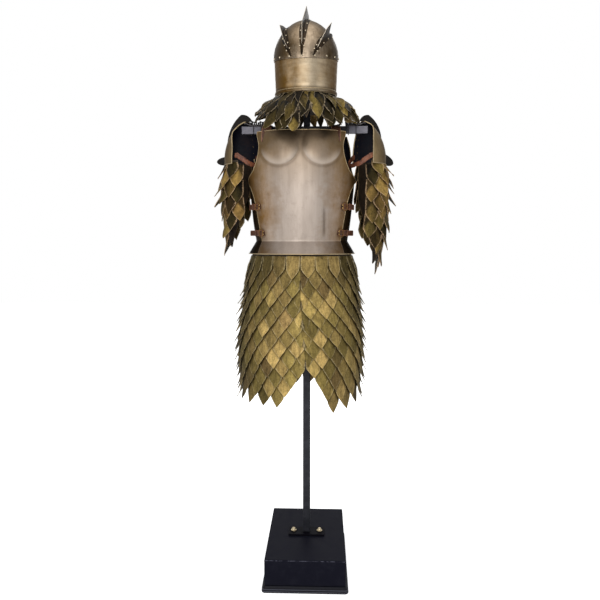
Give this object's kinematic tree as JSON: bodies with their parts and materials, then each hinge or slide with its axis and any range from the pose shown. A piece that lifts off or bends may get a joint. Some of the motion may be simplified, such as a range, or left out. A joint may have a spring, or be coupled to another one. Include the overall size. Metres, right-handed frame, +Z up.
{
  "type": "suit of plate armour on a stand",
  "caption": "Plate armour display: finned helmet, leaf collar, bronze-toned cuirass, shoulder domes, leather leaf-scale sleeves and skirt, on a black pole and plinth with a shoulder bar.",
  "frame": {"origin": "centre of the plinth's underside", "axes": "+Z up along the pole, -Y towards the front of the suit, +X to the right of someone who looks at its front"},
  "size_m": [0.5964, 0.427, 1.9139],
  "materials": {
    "plate": "bronze-toned steel, brushed along its height, with darker patina at the sides",
    "fin": "dark olive-grey steel with bright worn edges",
    "scales": "stiff leather leaves, mottled olive gold, with pale cut edges",
    "strap": "orange-brown strap leather, satin",
    "brass": "worn brass",
    "wood": "black satin lacquer",
    "iron": "satin black paint"
  },
  "bodies": {
    "root": {"helmet_band": "plate", "helmet_skull": "plate", "breastplate": "plate", "backplate": "plate", "pauldron_left": "plate", "pauldron_right": "plate", "helmet_fin_centre": "fin", "helmet_fin_left": "fin", "helmet_fin_right": "fin", "pauldron_fin_top_left": "fin", "pauldron_fin_top_right": "fin", "pauldron_fin_side_left": "fin", "pauldron_fin_side_right": "fin", "aventail": "scales", "scale_skirt_left": "scales", "scale_skirt_right": "scales", "scale_sleeve_left": "scales", "scale_sleeve_right": "scales", "shoulder_strap_left": "strap", "shoulder_strap_right": "strap", "arm_strap_left": "strap", "arm_strap_right": "strap", "bar_strap_left": "strap", "bar_strap_right": "strap", "side_strap_upper_left": "strap", "side_strap_upper_right": "strap", "side_strap_lower_left": "strap", "side_strap_lower_right": "strap", "side_buckle_upper_left": "brass", "side_buckle_upper_right": "brass", "side_buckle_lower_left": "brass", "side_buckle_lower_right": "brass", "base_bolt_left": "brass", "base_bolt_right": "brass", "base_block": "wood", "base_moulding": "wood", "head_rest": "wood", "foot_plate": "iron", "pole": "iron", "shoulder_bar": "iron", "head_post": "iron"}
  },
  "joints": []
}
